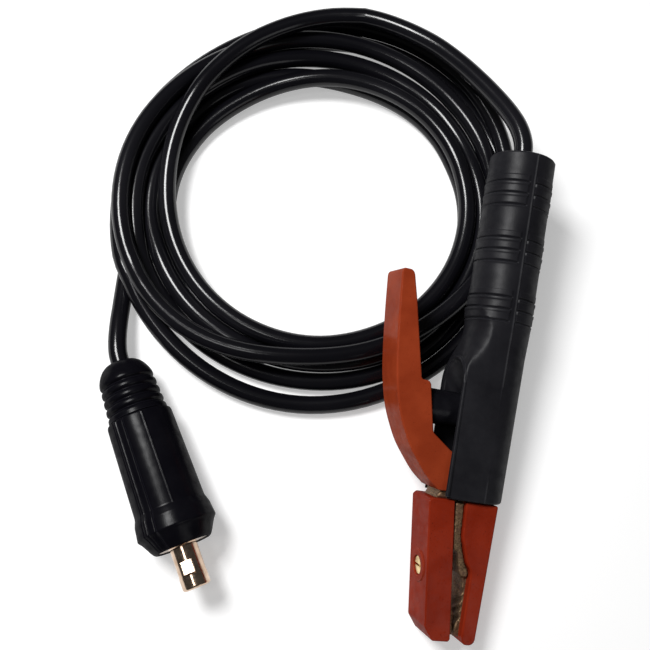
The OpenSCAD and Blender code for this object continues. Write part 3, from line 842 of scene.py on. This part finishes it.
def make_upper_jaw_cover():
    outline = [(jaw_inner_x(-0.5), -0.5), (jaw_inner_x(-61.5), -61.5),
               (jaw_inner_x(-63.5) - 1, -62.6), (-13.4, -62.8), (jaw_outer_x(-57), -57),
               (jaw_outer_x(-2), -2), (jaw_outer_x(-2) + 1.5, -0.5)]
    cover = prism("upper_jaw_cover", outline, JAW_COVER_HALF_W)
    round_edges(cover, 1.0, 4, 24)
    at = upper_screw_frame()
    boss = lathe("boss", [(7.3, -1.5), (7.2, 0.35), (6.9, 0.62), (6.2, 0.72)], 64)
    combine(cover, "UNION", stand(boss, at))
    hollow = [(jaw_inner_x(0) + 3, 0.5), (jaw_inner_x(-61) + 5, -60.5), (-10.4, -60.5),
              (jaw_outer_x(-54.5) + 3.2, -54.5), (jaw_outer_x(-4) + 3.2, -4), (-21, -1.2),
              (-21, 0.5)]
    recess = lathe("recess", [(4.3, -1.6), (4.3, 0.3), (4.6, 0.7), (5.2, 3)], 48)
    combine(cover, "DIFFERENCE", prism("hollow", hollow, JAW_HALF_W), stand(recess, at),
            stand(cylinder("way", 2.1, -9, 3, 32), at))
    finish_piece(cover, HOLDER, "lever", "jaw_plastic", "upper_jaw_cover", shade=30)


def make_lower_jaw_cover():
    edge = curve_points([(-7, -0.6, 0), (-6.4, -15, 0), (-5, -20, 0), (-2.6, -27, 0),
                         (-0.2, -30.6, 0), (0.3, -34, 0)], 4)
    corner_x = lower_outer_x(-63.5) - 3
    outline = ([(lower_outer_x(-0.6), -0.6)] + [(p.x, p.y) for p in edge]
               + [(0.3, -60.5), (2.2, -63.5)] + arc((corner_x, -60.5), 3, -85, 0, 6))
    cover = prism("lower_jaw_cover", outline, JAW_COVER_HALF_W)
    round_edges(cover, 0.9, 4, 26)
    hollow = [(-20, 1), (-20, -61), (4.59, -61), (6.3, 0), (6.3, 1)]
    at = screw_side(JAW_SCREW_Y, lower_outer_x(JAW_SCREW_Y) - 1)
    combine(cover, "DIFFERENCE", prism("hollow", hollow, JAW_HALF_W),
            stand(cylinder("recess", 3.6, -4, 0.9, 48), at),
            stand(cylinder("way", 2.1, -4, 4, 32), at))
    finish_piece(cover, HOLDER, "root", "jaw_plastic", "lower_jaw_cover", shade=30)


def make_casting(node, body):
    """Copy of a CAD casting with melted edges and a sand-cast skin."""
    obj = new_object("cast_" + node, frame["nodes"][node].data.copy())
    modify(obj, "REMESH", mode="VOXEL", voxel_size=CAST_VOXEL * MM)
    settle_modifiers(obj)
    modify(obj, "SMOOTH", iterations=1, factor=0.5)
    settle_modifiers(obj)
    mesh = obj.data
    normals = [v.normal.copy() for v in mesh.vertices]
    for vertex, normal in zip(mesh.vertices, normals):
        p = vertex.co / MM
        lumps = noise.noise(p * 0.55) + 0.6 * noise.noise(p * 1.3)
        vertex.co += normal * (CAST_LUMPS * MM * lumps)
    obj.data.shade_smooth()
    return declare(obj, body, "cast_brass", node)


# Spring and sleeve

def make_spring():
    """Wound wire, drawn at one length; on the real holder it shortens as the lever is squeezed."""
    wire, radius, turns, steps = 0.65, 3.9, 8, 24
    low, high = 1.3, 26.0
    count = turns * steps
    rings = []
    for i in range(count + 1):
        a = TAU * i / steps
        height = low + (high - low) * i / count
        centre = Vector((-height, SPRING_Y + radius * math.cos(a), radius * math.sin(a)))
        out = Vector((0, math.cos(a), math.sin(a)))
        rings.append([centre + wire * (math.cos(t) * out + math.sin(t) * Vector((-1, 0, 0)))
                      for t in (TAU * k / 10 for k in range(10))])
    spring = loft("lever_spring", rings)
    finish_piece(spring, HOLDER, "root", "spring_steel", "lever_spring", shade=60)
    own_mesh(spring)


# Plug

def boot_profile():
    """(radius, y) of the boot's skin and of the bore behind its mouth."""
    skin = [(4.7, 0.8), (5.2, 0.1), (6.4, 0), (8.0, 0.7), (9.6, 2), (10.9, 3.7), (11.9, 5.5),
            (12.6, 7.2), (12.95, 8.6)]
    t = 9
    while t < BOOT_BODY_T:
        valley = max(hill(t, at, 0.85) for at in BOOT_VALLEYS)
        skin.append((12.45 + 0.062 * t - 1.15 * valley, t))
        t += 0.3
    skin += [(13.4, 28.2), (14.6, 28.4), (15.2, 28.8), (15.45, 29.6)]
    skin += [(15.5 + (t - 29) * 0.0245, t) for t in (34, 40, 46, 52, 58, 64, 69, 72.6)]
    skin += [(16.75, 73.6), (17.2, 74.8), (17.65, 76.2), (17.85, 77), (18.05, 79), (18.45, 82.4),
             (18.5, 83), (18.2, 83.6), (17.1, 84.9), (15.9, 87), (14.6, 89.4), (13.6, 90.9),
             (12.8, 91.5), (12.1, 91.4), (BOOT_MOUTH_R, 90.8), (BOOT_MOUTH_R, 89.6), (9.1, 89.6),
             (9.1, 51.5), (4.6, 51.5)]
    return [(r, -t) for r, t in skin]


def boot_surface(radius, y, angle):
    """Adds the mould's seam, the long raised strip and its lines to the boot's skin."""
    t = -y
    if radius < 10.2 or t > 91 or radius == BOOT_MOUTH_R:
        return radius
    degrees = math.degrees(angle) % 180
    body = smoothstep(BOOT_BODY_T, BOOT_BODY_T + 1.2, t)
    rise, fall = BOOT_STRIP
    strip = smoothstep(*rise, degrees) * (1 - smoothstep(*fall, degrees))
    radius += body * (0.26 * strip - 0.32 * hill(degrees, BOOT_STRIP_LINE, 0.9))
    radius -= 0.22 * body * sum(hill(degrees, at, 0.8) for at in BOOT_STRIP_GROOVES)
    seam = body * (1 - smoothstep(72, 73.5, t))
    return radius + 0.20 * seam * hill(math.radians(degrees - BOOT_SEAM) * radius, 0, 0.3)


def ring_solid(name, profile, sides, shape=None):
    """Turned body whose profile closes on itself, so that it has a bore."""
    points, faces = [], []
    for radius, y in profile:
        for k in range(sides):
            angle = TAU * k / sides
            r = shape(radius, y, angle) if shape else radius
            points.append((r * math.sin(angle), y, r * math.cos(angle)))
    count = len(profile)
    for i in range(count):
        n = (i + 1) % count
        for k in range(sides):
            m = (k + 1) % sides
            faces.append((i * sides + k, i * sides + m, n * sides + m, n * sides + k))
    return solid(name, points, faces)


def make_boot():
    boot = ring_solid("plug_boot", boot_profile(), 360, boot_surface)
    return finish_piece(boot, PLUG, "root", "boot_rubber", "plug_boot", shade=50)


def make_pin():
    """Pin with its shoulder in the boot's mouth, its neck, key lug and front land."""
    profile = [(4.9, -76), (4.9, -51.5), (9, -51.5), (9, -89.7), (11.65, -89.7),
               (11.65, -90.7), (11.4, -91), (6.9, -91.1), (6.35, -91.5), (6.35, -104.6),
               (PIN_R, -104.9), (PIN_R, -109.8), (6.2, -110.5), (5.6, -110.9), (4.9, -111)]
    pin = ring_solid("plug_pin", profile + [(0.01, -111), (0.01, -76)], 128)
    lug = prism("lug", [(-2.75, -98.5), (2.75, -98.5), (2.75, -104.5), (-2.75, -104.5)], 9.0, 3)
    round_edges(lug, 0.35, 2)
    combine(pin, "UNION", lug)
    return finish_piece(pin, PLUG, "root", "plug_brass", "plug_pin", shade=30)


def make_sleeve():
    """Black sleeve over the spring, cut to the slope of the lever's pad."""
    profile = [(6.4, 10.5), (7.6, 10.5), (8.0, 10.9), (8.0, 36), (6.4, 36)]
    sleeve = ring_solid("spring_sleeve", profile, 72)
    upright = Matrix.Translation((0, SPRING_Y, 0)) @ Matrix.Rotation(math.radians(90), 4, "Z")
    stand(sleeve, upright)
    above = prism("above", [(-28.2, 26), (-32.9, 51), (-50, 51), (-50, 26)], 12)
    combine(sleeve, "DIFFERENCE", above)
    finish_piece(sleeve, HOLDER, "lever", "sleeve_plastic", "spring_sleeve", shade=40)


# Parts whose CAD shape is right

def paint_cad_parts():
    """Gives every CAD part that still shows the material of its slot."""
    for part in frame["record"]["subparts"]:
        obj = frame["nodes"][part["node"]]
        if obj.hide_render:
            continue
        for slot in obj.material_slots:
            slot.material = MATERIALS[part["material_slot"]]


# Stage

def make_floor():
    corners = [(-FLOOR_HALF, -FLOOR_HALF), (FLOOR_HALF, -FLOOR_HALF),
               (FLOOR_HALF, FLOOR_HALF), (-FLOOR_HALF, FLOOR_HALF)]
    floor = solid("floor", [(x, y, -FLOOR_DROP) for x, y in corners], [(0, 1, 2, 3)])
    p = Paint("floor")
    p.set(Specular_IOR_Level=0.2, Emission_Color=(1, 1, 1, 1), Emission_Strength=0.4)
    colour = p.mix(p.noise(2, 3), (0.72, 0.72, 0.72), (0.76, 0.76, 0.76))
    floor.data.materials.append(p.finish(colour, p.ramp(p.noise(30, 3), 0, 1, 0.7, 0.9)))


def make_light(name, place, aim, side, power):
    data = bpy.data.lights.new(name, "AREA")
    data.shape = "SQUARE"
    data.size = side
    data.energy = power
    light = bpy.data.objects.new(name, data)
    bpy.context.scene.collection.objects.link(light)
    light.location = place
    light.rotation_mode = "QUATERNION"
    light.rotation_quaternion = (Vector(aim) - Vector(place)).to_track_quat("-Z", "Y")


def make_studio():
    world = bpy.data.worlds.new("studio")
    world.use_nodes = True
    background = world.node_tree.nodes["Background"]
    background.inputs["Color"].default_value = (1, 1, 1, 1)
    background.inputs["Strength"].default_value = WORLD_STRENGTH
    bpy.context.scene.world = world
    bpy.context.scene.view_settings.view_transform = "Standard"
    for light in LIGHTS:
        make_light(*light)


make_camera()
boot, pin = make_boot(), make_pin()
make_cable()
make_handle()
make_lever_cover()
make_upper_jaw_cover()
make_lower_jaw_cover()
make_casting("lower_arm", "root")
make_casting("upper_arm", "lever")
make_sleeve()
make_spring()
paint_cad_parts()
make_floor()
make_studio()
